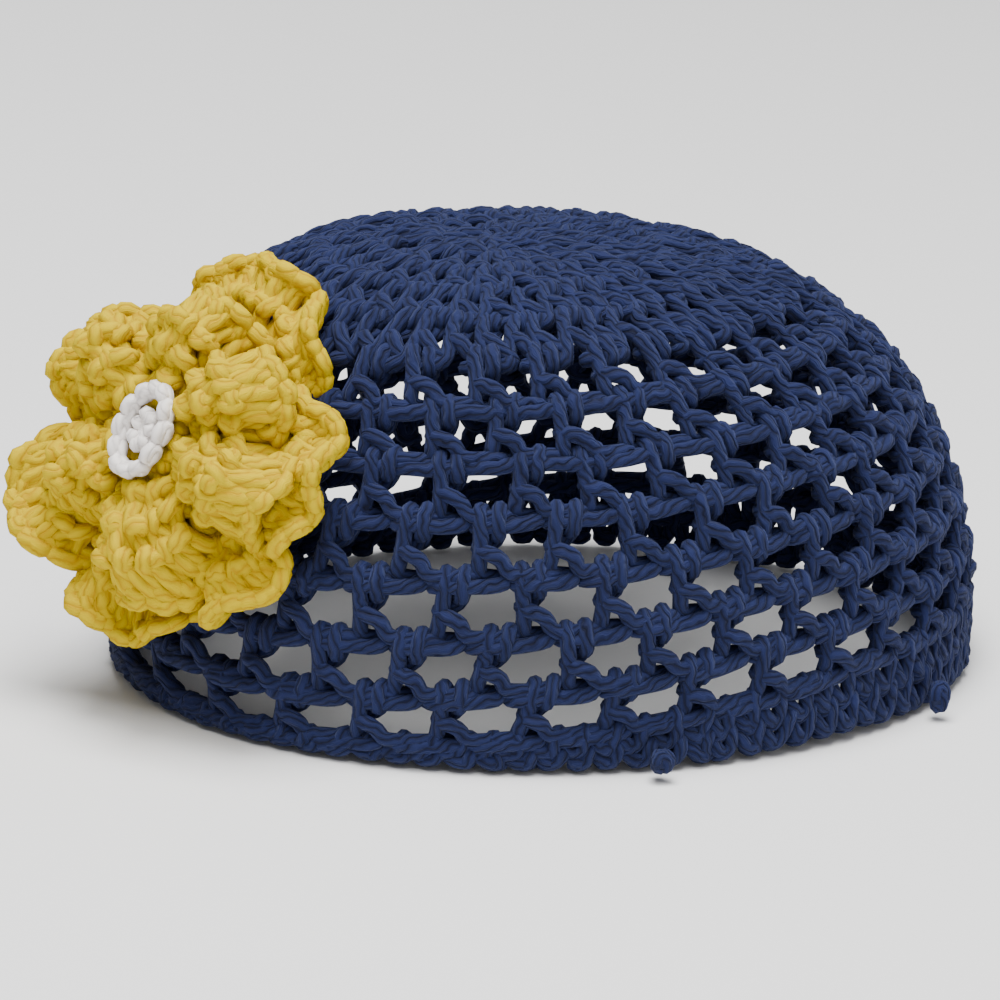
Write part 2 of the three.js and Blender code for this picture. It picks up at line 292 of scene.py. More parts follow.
def hatFall(u, v):
    hug = flower["hugAbove"] if v > 0 else flower["hugBelow"]
    return u * u / flower["hugAcross"] + v * v / hug


def outerHeight(u, v, lift):
    far = math.hypot(u, v) / flower["fullLift"]
    rest = flower["thickness"] / 2 + hat["gap"] - hat["inset"] * max(1 - far**2, 0)
    return rest - flower["followHat"] * hatFall(u, v) + lift * far**2


def innerHeight(radius, reach, lift):
    seat = flower["centreSeat"]
    share = min(max((radius - seat) / (reach - seat), 0), 1.2)
    crest = flower["innerCrest"] * math.sin(math.pi * min(share, 1))
    return flower["coreHeight"] - flower["thickness"] / 2 + crest + lift * share**2


def petalPoint(layer, angle, v):
    notched, reach, lift = petalAt(layer, angle)
    share = v / layer["rows"]
    radius = layer["start"] + (reach - flower["rimInside"] - layer["start"]) * min(share, 1)
    radius += flower["overhang"] * max(share - 1, 0)
    a = radius * math.cos(angle)
    b = radius * math.sin(angle)
    if layer is outerLayer:
        height = outerHeight(a, b, lift)
    else:
        height = innerHeight(radius, reach, lift)
    height -= layer["valley"] * notched**2 * min(share, 1) ** flower["valleyStart"]
    height += layer["ruffle"] * share**2 * math.sin(layer["waves"] * angle + layer["petals"][0][0])
    height -= layer["curl"] * max(share - flower["curlFrom"], 0) ** 2
    return seatPoint + seatAcross * a + seatUp * b + seatNormal * height


def petalGuide(name, layer):
    us = np.linspace(0, 1, flower["columns"] + 1)
    vs = np.arange(0, (layer["rows"] + 0.5) * flower["fine"] + 1) / flower["fine"]
    rows = []
    for v in vs:
        rows.append(np.array([petalPoint(layer, -fullTurn * u, v) for u in us]))
    return gridMesh(name, rows, us, vs)


def petalLength(layer, v):
    angles = np.linspace(0, fullTurn, 361)
    points = np.array([petalPoint(layer, angle, v) for angle in angles])
    return np.linalg.norm(np.diff(points, axis=0), axis=1).sum()


centre = {
    "halfWidth": 7.0,
    "halfHeight": 10.6,
    "lean": 12.0,
    "rest": 1.4,
    "dome": 1.2,
    "columns": 48,
    "rows": 2,
    "guideReach": 0.82,
    "heartStitches": 7,
    "heartLength": 20.0,
    "ringStitches": 12,
    "ringLength": 46.0,
}


def centreGuide():
    lean = math.radians(centre["lean"])
    us = np.linspace(0, 1, centre["columns"] + 1)
    vs = np.arange(0, centre["rows"] * 4 + 2) / 4
    rows = []
    for v in vs:
        share = v / centre["rows"] * centre["guideReach"]
        points = []
        for u in us:
            angle = -fullTurn * u
            a = centre["halfWidth"] * share * math.cos(angle)
            b = centre["halfHeight"] * share * math.sin(angle)
            across = a * math.cos(lean) + b * math.sin(lean)
            along = b * math.cos(lean) - a * math.sin(lean)
            out = flower["coreHeight"] + centre["rest"] + centre["dome"] * share
            points.append(seatPoint + seatAcross * across + seatUp * along + seatNormal * out)
        rows.append(np.array(points))
    return gridMesh("centreGuide", rows, us, vs)


# the guide of a yarn end: a lump that fills its place at the hem, less the yarn's own thickness

lump = {
    "columns": 24,
    "rows": 12,
    "yarn": 1.5,
    "cells": 3,
    "length": 12.0,
}


def lumpGuide(name, node):
    low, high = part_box(node)
    middle = np.array((low + high) / 2 - hatMiddle) / mm
    half = np.array((high - low) / 2) / mm - lump["yarn"]
    us = np.linspace(0, 1, lump["columns"] + 1)
    vs = np.linspace(0, 1, lump["rows"] + 1)
    rows = []
    for v in vs:
        turn = fullTurn * us
        across = math.sin(math.pi * v)
        ways = np.stack([across * np.sin(turn), -across * np.cos(turn), math.cos(math.pi * v) + 0 * turn], -1)
        rows.append(middle + half * ways)
    return gridMesh(name, rows, us, vs)


# stitch paths: how the yarn runs through one stitch. cell counts stitches along the round,
# side is millimetres from the stitch's middle, down runs from the bar above (0) to the bar
# below (1), and out is millimetres off the middle of the fabric

meshStitch = [
    (0, -2.3, 1.08, 1.4),
    (0, 0.8, 1.06, 1.6),
    (0, 2.8, 1.00, 0.4),
    (0, 1.3, 0.95, -1.4),
    (0, -1.8, 0.94, -1.4),
    (0, -3.8, 0.88, 0.0),
    (0, -2.9, 0.74, 0.9),
    (0, -2.4, 0.52, 1.0),
    (0, -2.0, 0.26, 1.2),
    (0, -1.9, 0.02, 2.3),
    (0, -1.8, -0.16, 1.8),
    (0, -1.4, -0.25, 0.0),
    (0, -0.9, -0.14, -2.0),
    (0, -0.1, 0.10, -2.4),
    (0, 0.9, 0.26, -1.2),
    (0, 1.8, 0.28, 0.8),
    (0, 1.8, 0.12, 2.2),
    (0, 2.0, -0.06, 2.5),
    (0, 2.6, -0.21, 1.4),
    (0, 2.9, -0.25, -0.6),
    (0, 2.9, -0.06, -2.2),
    (0, 2.3, 0.16, -2.2),
    (0, 1.5, 0.34, -1.4),
    (0, -0.8, 0.42, -2.2),
    (0, -3.1, 0.44, -1.0),
    (0, -3.1, 0.47, 0.8),
    (0, -1.2, 0.52, 2.4),
    (0, 1.2, 0.60, 2.6),
    (0, 2.6, 0.70, 1.8),
    (0, 1.8, 0.82, 1.4),
    (0, 3.3, 0.92, 1.6),
    (0.32, 0, 0.92, 1.3),
    (0.50, 0, 0.93, 1.2),
    (0.70, 0, 0.92, 0.8),
    (0.84, 0, 0.97, -0.8),
    (0.60, 0, 1.00, -1.7),
    (0.34, 0, 1.02, -1.6),
    (0.18, 0, 1.07, -0.4),
    (0.28, 0, 1.07, 1.2),
    (0.50, 0, 1.07, 1.9),
    (0.74, 0, 1.08, 1.1),
]

denseStitch = [
    (0, -2.4, 0.96, 0.4),
    (0, -1.7, 0.68, 0.9),
    (0, -1.6, 0.36, 1.1),
    (0, -1.4, 0.08, 2.0),
    (0, -1.1, -0.14, 1.4),
    (0, -0.7, -0.20, -0.8),
    (0, -0.1, 0.02, -2.2),
    (0, 0.8, 0.20, -1.4),
    (0, 1.4, 0.16, 1.0),
    (0, 1.6, -0.04, 2.2),
    (0, 2.0, -0.16, 0.6),
    (0, 2.1, 0.02, -1.6),
    (0, 1.5, 0.30, -1.6),
    (0, -0.6, 0.42, -1.8),
    (0, -2.0, 0.44, -0.4),
    (0, -1.0, 0.54, 1.8),
    (0, 0.9, 0.70, 2.2),
    (0, 2.0, 0.86, 1.4),
    (0.58, 0, 1.00, 1.2),
    (0.76, 0, 1.06, -0.6),
    (0.40, 0, 1.04, -1.6),
    (0.14, 0, 1.10, -0.6),
    (0.36, 0, 1.13, 1.2),
    (0.62, 0, 1.10, 1.0),
]

hemStitch = [
    (0, -1.8, 0.90, 0.6),
    (0, -1.3, 0.46, 1.2),
    (0, -1.0, 0.00, 1.8),
    (0, -0.4, -0.24, 0.4),
    (0, 0.2, 0.04, -1.6),
    (0, 1.0, 0.30, -0.6),
    (0, 1.4, 0.60, 1.4),
    (0, 2.0, 0.92, 1.4),
    (0.70, 0, 1.12, 0.6),
    (0.86, 0, 1.10, -1.2),
    (0.40, 0, 1.04, -1.6),
    (0.20, 0, 1.14, -0.2),
    (0.50, 0, 1.20, 1.2),
    (0.74, 0, 1.08, 1.0),
]

petalStitch = [
    (0, -2.2, 0.92, 0.4),
    (0, -1.6, 0.60, 1.0),
    (0, -1.4, 0.24, 1.4),
    (0, -1.1, -0.04, 1.8),
    (0, -0.6, -0.20, 0.2),
    (0, 0.1, -0.02, -1.6),
    (0, 0.9, 0.14, -1.0),
    (0, 1.4, 0.16, 1.0),
    (0, 1.5, 0.40, 1.9),
    (0, 1.6, 0.70, 1.7),
    (0, 2.4, 0.94, 1.4),
    (0.62, 0, 1.08, 0.6),
    (0.74, 0, 1.10, -1.0),
    (0.40, 0, 1.04, -1.6),
    (0.14, 0, 1.08, -0.8),
    (0.30, 0, 1.16, 1.0),
    (0.62, 0, 1.12, 1.4),
]

# a chain along a petal's rim
rimStitch = [
    (0, -2.6, 0.98, -0.6),
    (0, -2.0, 0.80, 1.0),
    (0, 0.2, 0.88, 2.2),
    (0, 2.2, 1.04, 1.2),
    (0, 2.4, 1.12, -0.8),
    (0, 0.0, 1.06, -1.6),
    (0, -2.2, 1.14, -0.8),
    (0, -1.4, 1.22, 1.0),
    (0, 1.0, 1.14, 2.0),
    (0, 2.8, 1.00, 0.8),
]

# a heart of short stitches, and the chain round it
heartStitch = [
    (0, -0.9, 0.95, 0.2),
    (0, -0.8, 0.50, 0.6),
    (0, -0.3, 0.10, 0.4),
    (0, 0.5, 0.30, 0.6),
    (0, 0.8, 0.80, 0.4),
    (0.55, 0, 0.94, 0.3),
    (0.75, 0, 0.60, -0.6),
    (0.30, 0, 0.90, -0.8),
]

centreStitch = [
    (0, -1.6, 0.95, 0.0),
    (0, -0.4, 0.88, 1.0),
    (0, 1.4, 0.98, 0.6),
    (0, 2.0, 1.12, -0.6),
    (0, 0.4, 1.16, -1.0),
    (0, -1.2, 1.22, 0.2),
    (0, 0.2, 1.20, 1.0),
    (0, 2.0, 1.04, 0.4),
]


# yarn wound on itself, pole to pole
windStitch = [
    (0.0, 0, 0.50, 0.3),
    (0.1, 0, 0.24, 0.2),
    (0.35, 0, 0.08, 0.0),
    (0.7, 0, 0.24, -0.2),
    (0.8, 0, 0.50, -0.1),
    (0.9, 0, 0.76, 0.1),
    (1.15, 0, 0.92, 0.0),
    (1.35, 0, 0.80, -0.2),
    (1.2, 0, 0.62, -0.3),
]


def stitchMesh(name, path):
    mesh = bpy.data.meshes.new(name)
    mesh.from_pydata([(cell, side * mm, down) for cell, side, down, out in path], [], [])
    depth = mesh.attributes.new("out", "FLOAT", "POINT")
    depth.data.foreach_set("value", [out * mm for cell, side, down, out in path])
    piece = bpy.data.objects.new(name, mesh)
    bpy.context.scene.collection.objects.link(piece)
    piece.hide_render = True
    return piece


# building the node trees


def addNode(tree, kind, settings=None, **inputs):
    node = tree.nodes.new(kind)
    for name, value in (settings or {}).items():
        setattr(node, name, value)
    for name, value in inputs.items():
        socket = node.inputs[int(name[1:])] if name[0] == "i" and name[1:].isdigit() else node.inputs[name]
        if isinstance(value, bpy.types.NodeSocket):
            tree.links.new(value, socket)
        else:
            socket.default_value = value
    return node


def calc(tree, operation, a, b=0.0, c=0.0):
    node = addNode(tree, "ShaderNodeMath", {"operation": operation}, i0=a, i1=b, i2=c)
    return node.outputs[0]


def yarnTree():
    tree = bpy.data.node_groups.new("yarnRound", "GeometryNodeTree")
    face = tree.interface
    face.new_socket("Geometry", in_out="INPUT", socket_type="NodeSocketGeometry")
    sockets = [
        ("Stitch Path", "NodeSocketObject"),
        ("Guide", "NodeSocketObject"),
        ("Stitches", "NodeSocketInt"),
        ("Path Points", "NodeSocketInt"),
        ("Start", "NodeSocketFloat"),
        ("Row", "NodeSocketFloat"),
        ("Pitch", "NodeSocketFloat"),
        ("Yarn Radius", "NodeSocketFloat"),
        ("Step", "NodeSocketFloat"),
        ("Sway", "NodeSocketFloat"),
        ("Lean", "NodeSocketFloat"),
        ("Slant", "NodeSocketFloat"),
        ("Slack", "NodeSocketFloat"),
        ("Ripple", "NodeSocketFloat"),
        ("Bumpy", "NodeSocketFloat"),
        ("Out", "NodeSocketFloat"),
        ("Depth Scale", "NodeSocketFloat"),
        ("Highest", "NodeSocketFloat"),
        ("Sides", "NodeSocketInt"),
        ("Seed", "NodeSocketInt"),
        ("Material", "NodeSocketMaterial"),
    ]
    for name, kind in sockets:
        face.new_socket(name, in_out="INPUT", socket_type=kind)
    face.new_socket("Geometry", in_out="OUTPUT", socket_type="NodeSocketGeometry")
    given = tree.nodes.new("NodeGroupInput").outputs

    template = addNode(tree, "GeometryNodeObjectInfo", i0=given["Stitch Path"]).outputs["Geometry"]
    surface = addNode(tree, "GeometryNodeObjectInfo", i0=given["Guide"]).outputs["Geometry"]
    points = calc(tree, "MULTIPLY", given["Stitches"], given["Path Points"])
    line = addNode(tree, "GeometryNodeMeshLine", Count=points, Offset=(0, 0, 0)).outputs[0]

    index = tree.nodes.new("GeometryNodeInputIndex").outputs[0]
    stitch = calc(tree, "FLOOR", calc(tree, "DIVIDE", calc(tree, "ADD", index, 0.5), given["Path Points"]))
    inPath = calc(tree, "SUBTRACT", index, calc(tree, "MULTIPLY", stitch, given["Path Points"]))
    where = tree.nodes.new("GeometryNodeInputPosition").outputs[0]
    spot = addNode(
        tree, "GeometryNodeSampleIndex", {"data_type": "FLOAT_VECTOR", "domain": "POINT"},
        Geometry=template, Value=where, Index=inPath)
    outName = addNode(tree, "GeometryNodeInputNamedAttribute", {"data_type": "FLOAT"}, Name="out")
    depth = addNode(
        tree, "GeometryNodeSampleIndex", {"data_type": "FLOAT", "domain": "POINT"},
        Geometry=template, Value=outName.outputs["Attribute"], Index=inPath).outputs[0]
    parts = addNode(tree, "ShaderNodeSeparateXYZ", i0=spot.outputs[0]).outputs
    cell, side, down = parts[0], parts[1], parts[2]

    def chance(extra):
        node = addNode(tree, "FunctionNodeRandomValue", {"data_type": "FLOAT"})
        node.inputs[2].default_value = -1
        node.inputs[3].default_value = 1
        tree.links.new(stitch, node.inputs["ID"])
        tree.links.new(calc(tree, "ADD", given["Seed"], float(extra)), node.inputs["Seed"])
        return node.outputs[1]

    # each stitch sways, leans and hangs a little differently
    sway = calc(tree, "MULTIPLY", chance(1), given["Sway"])
    middle = calc(tree, "SUBTRACT", 0.5, down)
    slope = calc(tree, "ADD", calc(tree, "MULTIPLY", chance(2), given["Lean"]), given["Slant"])
    lean = calc(tree, "MULTIPLY", middle, slope)
    shift = calc(tree, "ADD", side, calc(tree, "ADD", sway, lean))
    along = calc(tree, "ADD", cell, calc(tree, "DIVIDE", shift, given["Pitch"]))
    place = calc(tree, "ADD", calc(tree, "ADD", stitch, given["Start"]), along)
    u = calc(tree, "FRACT", calc(tree, "ADD", calc(tree, "DIVIDE", place, given["Stitches"]), 1.0))
    hang = calc(tree, "MULTIPLY", chance(3), given["Slack"])
    wanted = calc(tree, "ADD", calc(tree, "ADD", given["Row"], down), hang)
    v = calc(tree, "MINIMUM", calc(tree, "MAXIMUM", wanted, 0.04), given["Highest"])
    uv = addNode(tree, "ShaderNodeCombineXYZ", i0=u, i1=v).outputs[0]

    uvName = addNode(tree, "GeometryNodeInputNamedAttribute", {"data_type": "FLOAT_VECTOR"}, Name="guideUV")
    uvMap = uvName.outputs["Attribute"]
    normal = tree.nodes.new("GeometryNodeInputNormal").outputs[0]

    def onGuide(value):
        node = tree.nodes.new("GeometryNodeSampleUVSurface")
        node.data_type = "FLOAT_VECTOR"
        tree.links.new(surface, node.inputs[0])
        tree.links.new(value, node.inputs["Value"])
        tree.links.new(uvMap, node.inputs["Source UV Map"])
        tree.links.new(uv, node.inputs["Sample UV"])
        return node.outputs[0]

    base = onGuide(where)
    outward = addNode(tree, "ShaderNodeVectorMath", {"operation": "NORMALIZE"}, i0=onGuide(normal)).outputs[0]
    wobble = addNode(tree, "ShaderNodeTexNoise", {"noise_dimensions": "4D"}, Scale=260.0, Detail=1.0)
    tree.links.new(base, wobble.inputs["Vector"])
    tree.links.new(calc(tree, "MULTIPLY", given["Seed"], 0.37), wobble.inputs["W"])
    centred = addNode(
        tree, "ShaderNodeVectorMath", {"operation": "SUBTRACT"},
        i0=wobble.outputs["Color"], i1=(0.5, 0.5, 0.5)).outputs[0]
    ripple = addNode(tree, "ShaderNodeVectorMath", {"operation": "SCALE"}, i0=centred, Scale=given["Ripple"])
    pushed = calc(tree, "ADD", given["Out"], calc(tree, "MULTIPLY", chance(4), given["Bumpy"]))
    lift = addNode(
        tree, "ShaderNodeVectorMath", {"operation": "SCALE"}, i0=outward,
        Scale=calc(tree, "ADD", calc(tree, "MULTIPLY", depth, given["Depth Scale"]), pushed))
    offset = addNode(
        tree, "ShaderNodeVectorMath", {"operation": "ADD"}, i0=ripple.outputs[0], i1=lift.outputs[0])
    target = addNode(tree, "ShaderNodeVectorMath", {"operation": "ADD"}, i0=base, i1=offset.outputs[0])
    placed = addNode(tree, "GeometryNodeSetPosition", Geometry=line, Position=target.outputs[0])

    curve = addNode(tree, "GeometryNodeMeshToCurve", i0=placed.outputs[0]).outputs[0]
    closed = addNode(tree, "GeometryNodeSetSplineCyclic", Geometry=curve, Cyclic=True).outputs[0]
    smooth = addNode(
        tree, "GeometryNodeCurveSplineType", {"spline_type": "CATMULL_ROM"}, Curve=closed).outputs[0]
    fine = addNode(tree, "GeometryNodeSetSplineResolution", i0=smooth, Resolution=8).outputs[0]
    even = addNode(tree, "GeometryNodeResampleCurve", Curve=fine)
    even.mode = "LENGTH"
    tree.links.new(given["Step"], even.inputs["Length"])
    rounded = addNode(
        tree, "GeometryNodeBlurAttribute", {"data_type": "FLOAT_VECTOR"}, Iterations=2, Weight=0.6)
    tree.links.new(tree.nodes.new("GeometryNodeInputPosition").outputs[0], rounded.inputs["Value"])
    eased = addNode(tree, "GeometryNodeSetPosition", Geometry=even.outputs[0])
    tree.links.new(rounded.outputs[0], eased.inputs["Position"])

    def keep(geometry, value, kind):
        node = tree.nodes.new("GeometryNodeCaptureAttribute")
        node.capture_items.new(kind, "kept")
        tree.links.new(geometry, node.inputs[0])
        tree.links.new(value, node.inputs[1])
        return node.outputs[0], node.outputs[1]

    travel = tree.nodes.new("GeometryNodeSplineParameter")
    path, length = keep(eased.outputs[0], travel.outputs["Length"], "FLOAT")
    ring = addNode(tree, "GeometryNodeCurvePrimitiveCircle")
    tree.links.new(given["Sides"], ring.inputs["Resolution"])
    tree.links.new(given["Yarn Radius"], ring.inputs["Radius"])
    about = tree.nodes.new("GeometryNodeSplineParameter")
    profile, factor = keep(ring.outputs[0], about.outputs["Factor"], "FLOAT")
    tube = addNode(tree, "GeometryNodeCurveToMesh", Curve=path)
    tree.links.new(profile, tube.inputs["Profile Curve"])

    angle = calc(tree, "MULTIPLY", factor, fullTurn)
    section = addNode(
        tree, "ShaderNodeCombineXYZ",
        i0=calc(tree, "COSINE", angle), i1=calc(tree, "SINE", angle), i2=length).outputs[0]
    stored = addNode(
        tree, "GeometryNodeStoreNamedAttribute", {"data_type": "FLOAT_VECTOR", "domain": "POINT"},
        Geometry=tube.outputs[0], Name="yarnSection")
    tree.links.new(section, stored.inputs["Value"])
    soft = addNode(tree, "GeometryNodeSetShadeSmooth", i0=stored.outputs[0]).outputs[0]
    real = addNode(tree, "GeometryNodeRealizeInstances", i0=soft).outputs[0]
    dressed = addNode(tree, "GeometryNodeSetMaterial", Geometry=real)
    tree.links.new(given["Material"], dressed.inputs["Material"])
    finished = tree.nodes.new("NodeGroupOutput")
    tree.links.new(dressed.outputs[0], finished.inputs[0])
    return tree


def yarnPiece(name, tree, body, node, values):
    piece = bpy.data.objects.new(name, bpy.data.meshes.new(name))
    bpy.context.scene.collection.objects.link(piece)
    modifier = piece.modifiers.new("yarn", "NODES")
    modifier.node_group = tree
    sockets = {item.name: item.identifier for item in tree.interface.items_tree if item.in_out == "INPUT"}
    for key, value in values.items():
        modifier[sockets[key]] = value
    bpy.context.view_layer.update()
    evaluated = piece.evaluated_get(bpy.context.evaluated_depsgraph_get())
    mesh = bpy.data.meshes.new_from_object(evaluated)
    mesh.name = name
    piece.modifiers.remove(modifier)
    piece.data = mesh
    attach(piece, body)
    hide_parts(node)
    print(name, len(mesh.polygons) * 2, "triangles")
    return piece


# yarn, as a material: the groove colour is painted shade between the plies


def plyGroup():
    group = bpy.data.node_groups.new("yarnPlies", "ShaderNodeTree")
    face = group.interface
    face.new_socket("Plies", in_out="INPUT", socket_type="NodeSocketFloat")
    face.new_socket("Lead", in_out="INPUT", socket_type="NodeSocketFloat")
    face.new_socket("Fuzz", in_out="INPUT", socket_type="NodeSocketFloat")
    face.new_socket("Looseness", in_out="INPUT", socket_type="NodeSocketFloat")
    face.new_socket("Ply", in_out="OUTPUT", socket_type="NodeSocketFloat")
    face.new_socket("Height", in_out="OUTPUT", socket_type="NodeSocketFloat")
    face.new_socket("Patch", in_out="OUTPUT", socket_type="NodeSocketFloat")
    given = group.nodes.new("NodeGroupInput").outputs
    section = addNode(group, "ShaderNodeAttribute", {"attribute_name": "yarnSection"})
    parts = addNode(group, "ShaderNodeSeparateXYZ", i0=section.outputs["Vector"]).outputs
    around = calc(group, "ARCTAN2", parts[1], parts[0])
    turns = calc(group, "DIVIDE", calc(group, "MULTIPLY", parts[2], fullTurn), given["Lead"])
    place = addNode(group, "ShaderNodeTexCoord").outputs["Object"]
    wander = addNode(group, "ShaderNodeTexNoise", Vector=place, Scale=220.0, Detail=1.0).outputs["Fac"]
    loose = calc(group, "MULTIPLY", calc(group, "SUBTRACT", wander, 0.5), given["Looseness"])
    spiral = calc(group, "ADD", calc(group, "ADD", around, turns), loose)
    halfPlies = calc(group, "MULTIPLY", given["Plies"], 0.5)
    wave = calc(group, "COSINE", calc(group, "MULTIPLY", spiral, halfPlies))
    # ply is 1 on a ply's crest and 0 in the groove between plies; it shapes the bump and masks the painted
    # groove shade
    ply = calc(group, "POWER", calc(group, "ABSOLUTE", wave), 0.7)
    strands = addNode(group, "ShaderNodeCombineXYZ", i0=calc(group, "MULTIPLY", spiral, 7.0),
                      i1=calc(group, "MULTIPLY", parts[2], 160.0), i2=0.0).outputs[0]
    fibre = addNode(group, "ShaderNodeTexNoise", Vector=strands, Scale=1.0, Detail=2.0).outputs["Fac"]
    patch = addNode(group, "ShaderNodeTexNoise", Vector=place, Scale=90.0, Detail=3.0).outputs["Fac"]
    fuzz = calc(group, "MULTIPLY", calc(group, "SUBTRACT", fibre, 0.5), given["Fuzz"])
    height = calc(group, "ADD", ply, fuzz)
    finished = group.nodes.new("NodeGroupOutput")
    group.links.new(ply, finished.inputs["Ply"])
    group.links.new(height, finished.inputs["Height"])
    group.links.new(patch, finished.inputs["Patch"])
    return group


def yarnMaterial(name, group, look):
    material = bpy.data.materials.new(name)
    material.use_nodes = True
    tree = material.node_tree
    shader = tree.nodes["Principled BSDF"]
    plies = addNode(tree, "ShaderNodeGroup", {"node_tree": group})
    plies.inputs["Plies"].default_value = look["plies"]
    plies.inputs["Lead"].default_value = look["lead"]
    plies.inputs["Fuzz"].default_value = look["fuzz"]
    plies.inputs["Looseness"].default_value = look["loose"]
    # painted shade: the yarn darkens from its crest colour to the darker groove colour between the plies,
    # following the ply profile
    plyShading = addNode(tree, "ShaderNodeMix", {"data_type": "RGBA"})
    plyShading.inputs[6].default_value = look["grooveShade"]
    plyShading.inputs[7].default_value = look["crest"]
    tree.links.new(plies.outputs["Ply"], plyShading.inputs[0])
    shade = addNode(tree, "ShaderNodeMix", {"data_type": "RGBA", "blend_type": "MULTIPLY"})
    shade.inputs[0].default_value = look["patchy"]
    tree.links.new(plyShading.outputs[2], shade.inputs[6])
    mottle = addNode(tree, "ShaderNodeCombineColor", i0=plies.outputs["Patch"], i1=plies.outputs["Patch"],
                     i2=plies.outputs["Patch"])
    tree.links.new(mottle.outputs[0], shade.inputs[7])
    tree.links.new(shade.outputs[2], shader.inputs["Base Color"])
    bump = addNode(tree, "ShaderNodeBump", Strength=look["bump"], Distance=look["depth"])
    tree.links.new(plies.outputs["Height"], bump.inputs["Height"])
    tree.links.new(bump.outputs[0], shader.inputs["Normal"])
    shader.inputs["Roughness"].default_value = look["roughness"]
    shader.inputs["Sheen Weight"].default_value = look["sheen"]
    shader.inputs["Sheen Roughness"].default_value = 0.5
    shader.inputs["Sheen Tint"].default_value = look["sheenTint"]
    shader.inputs["Specular IOR Level"].default_value = look["gloss"]
    return material


# crest is each yarn's own colour; the groove colour is a darker painted shade for the hollows between plies
navyLook = {
    "crest": (0.015, 0.022, 0.085, 1),
    "grooveShade": (0.0008, 0.0012, 0.006, 1),
    "plies": 6,
    "lead": 0.026,
    "fuzz": 1.1,
    "loose": 2.5,
    "patchy": 0.4,
    "bump": 1.0,
    "depth": 0.0005,
    "roughness": 0.8,
    "gloss": 0.15,
    "sheen": 0.16,
    "sheenTint": (0.3, 0.38, 0.8, 1),
}

yellowLook = {
    "crest": (0.62, 0.45, 0.0, 1),
    "grooveShade": (0.5, 0.29, 0.0, 1),
    "plies": 4,
    "lead": 0.024,
    "fuzz": 0.8,
    "loose": 2.5,
    "patchy": 0.1,
    "bump": 0.7,
    "depth": 0.0005,
    "roughness": 0.85,
    "gloss": 0.1,
    "sheen": 0.0,
    "sheenTint": (1.0, 0.8, 0.1, 1),
}

whiteLook = {
    "crest": (0.95, 0.9, 0.86, 1),
    "grooveShade": (0.75, 0.7, 0.67, 1),
    "plies": 4,
    "lead": 0.014,
    "fuzz": 0.8,
    "loose": 2.5,
    "patchy": 0.1,
    "bump": 0.7,
    "depth": 0.0003,
    "roughness": 0.85,
    "gloss": 0.1,
    "sheen": 0.2,
    "sheenTint": (1.0, 1.0, 1.0, 1),
}

# the hat, round by round

navyYarn = {
    "Yarn Radius": 1.7 * mm,
    "Step": 1.4 * mm,
    "Sides": 8,
    "Sway": 0.7 * mm,
    "Lean": 2.0 * mm,
    "Slant": 0.0,
    "Slack": 0.03,
    "Ripple": 0.9 * mm,
    "Bumpy": 0.3 * mm,
    "Out": -3.9 * mm,
    "Depth Scale": 0.78,
    "Highest": float(hemLine),
}

yellowYarn = {
    "Yarn Radius": 1.9 * mm,
    "Step": 1.5 * mm,
    "Sides": 8,
    "Sway": 0.5 * mm,
    "Lean": 1.2 * mm,
    "Slant": 0.8 * mm,
    "Slack": 0.03,
    "Ripple": 1.4 * mm,
    "Bumpy": 0.7 * mm,
    "Out": -0.4 * mm,
    "Depth Scale": 1.0,
    "Highest": 4.45,
}

whiteYarn = {
    "Yarn Radius": 1.5 * mm,
    "Step": 1.0 * mm,
    "Sides": 8,
    "Sway": 0.2 * mm,
    "Lean": 0.4 * mm,
    "Slant": 0.4 * mm,
    "Slack": 0.05,
    "Ripple": 0.5 * mm,
    "Bumpy": 0.3 * mm,
    "Out": 0.0,
    "Depth Scale": 1.0,
    "Highest": 2.2,
}


windYarn = {
    "Yarn Radius": 1.3 * mm,
    "Step": 0.9 * mm,
    "Sides": 8,
    "Sway": 0.2 * mm,
    "Lean": 0.3 * mm,
    "Slant": 0.0,
    "Slack": 0.03,
    "Ripple": 0.4 * mm,
    "Bumpy": 0.1 * mm,
    "Out": 0.0,
    "Depth Scale": 1.0,
    "Highest": 0.96,
}


def stitchRound(name, node, slotName, kind, path, surface, row, stitches, start, length, material, **extra):
    values = dict(kind)
    values["Stitch Path"] = path
    values["Guide"] = surface
    values["Stitches"] = stitches
    values["Path Points"] = len(path.data.vertices)
    values["Start"] = start
    values["Row"] = float(row)
    values["Pitch"] = length / stitches * mm
    values["Seed"] = 10 * int(row) + 1
    values["Material"] = material
    values.update(extra)
    return yarnPiece(name, yarn, "root", node, values)


plies = plyGroup()
navyMaterial = yarnMaterial("navyYarn", plies, navyLook)
yellowMaterial = yarnMaterial("yellowYarn", plies, yellowLook)
whiteMaterial = yarnMaterial("whiteYarn", plies, whiteLook)
yarn = yarnTree()
hatSurface = hatGuide()
outerSurface = petalGuide("outerGuide", outerLayer)
innerSurface = petalGuide("innerGuide", innerLayer)
centreSurface = centreGuide()
meshPath = stitchMesh("meshStitch", meshStitch)
densePath = stitchMesh("denseStitch", denseStitch)
hemPath = stitchMesh("hemStitch", hemStitch)
petalPath = stitchMesh("petalStitch", petalStitch)
rimPath = stitchMesh("rimStitch", rimStitch)
heartPath = stitchMesh("heartStitch", heartStitch)
centrePath = stitchMesh("centreStitch", centreStitch)
windPath = stitchMesh("windStitch", windStitch)
knotSurface = lumpGuide("knotGuide", "hem_knot")
tailSurface = lumpGuide("tailGuide", "hem_tail")
print("guides made")

for i, row in enumerate(netRounds):
    line = firstBar + i
    stitchRound(
        f"net_round_{i + 1}", "mesh_body", "navy_yarn", navyYarn, meshPath, hatSurface,
        line, row["columns"], row["start"] - 0.5, barLength(line + 0.5), navyMaterial)
print("net made")

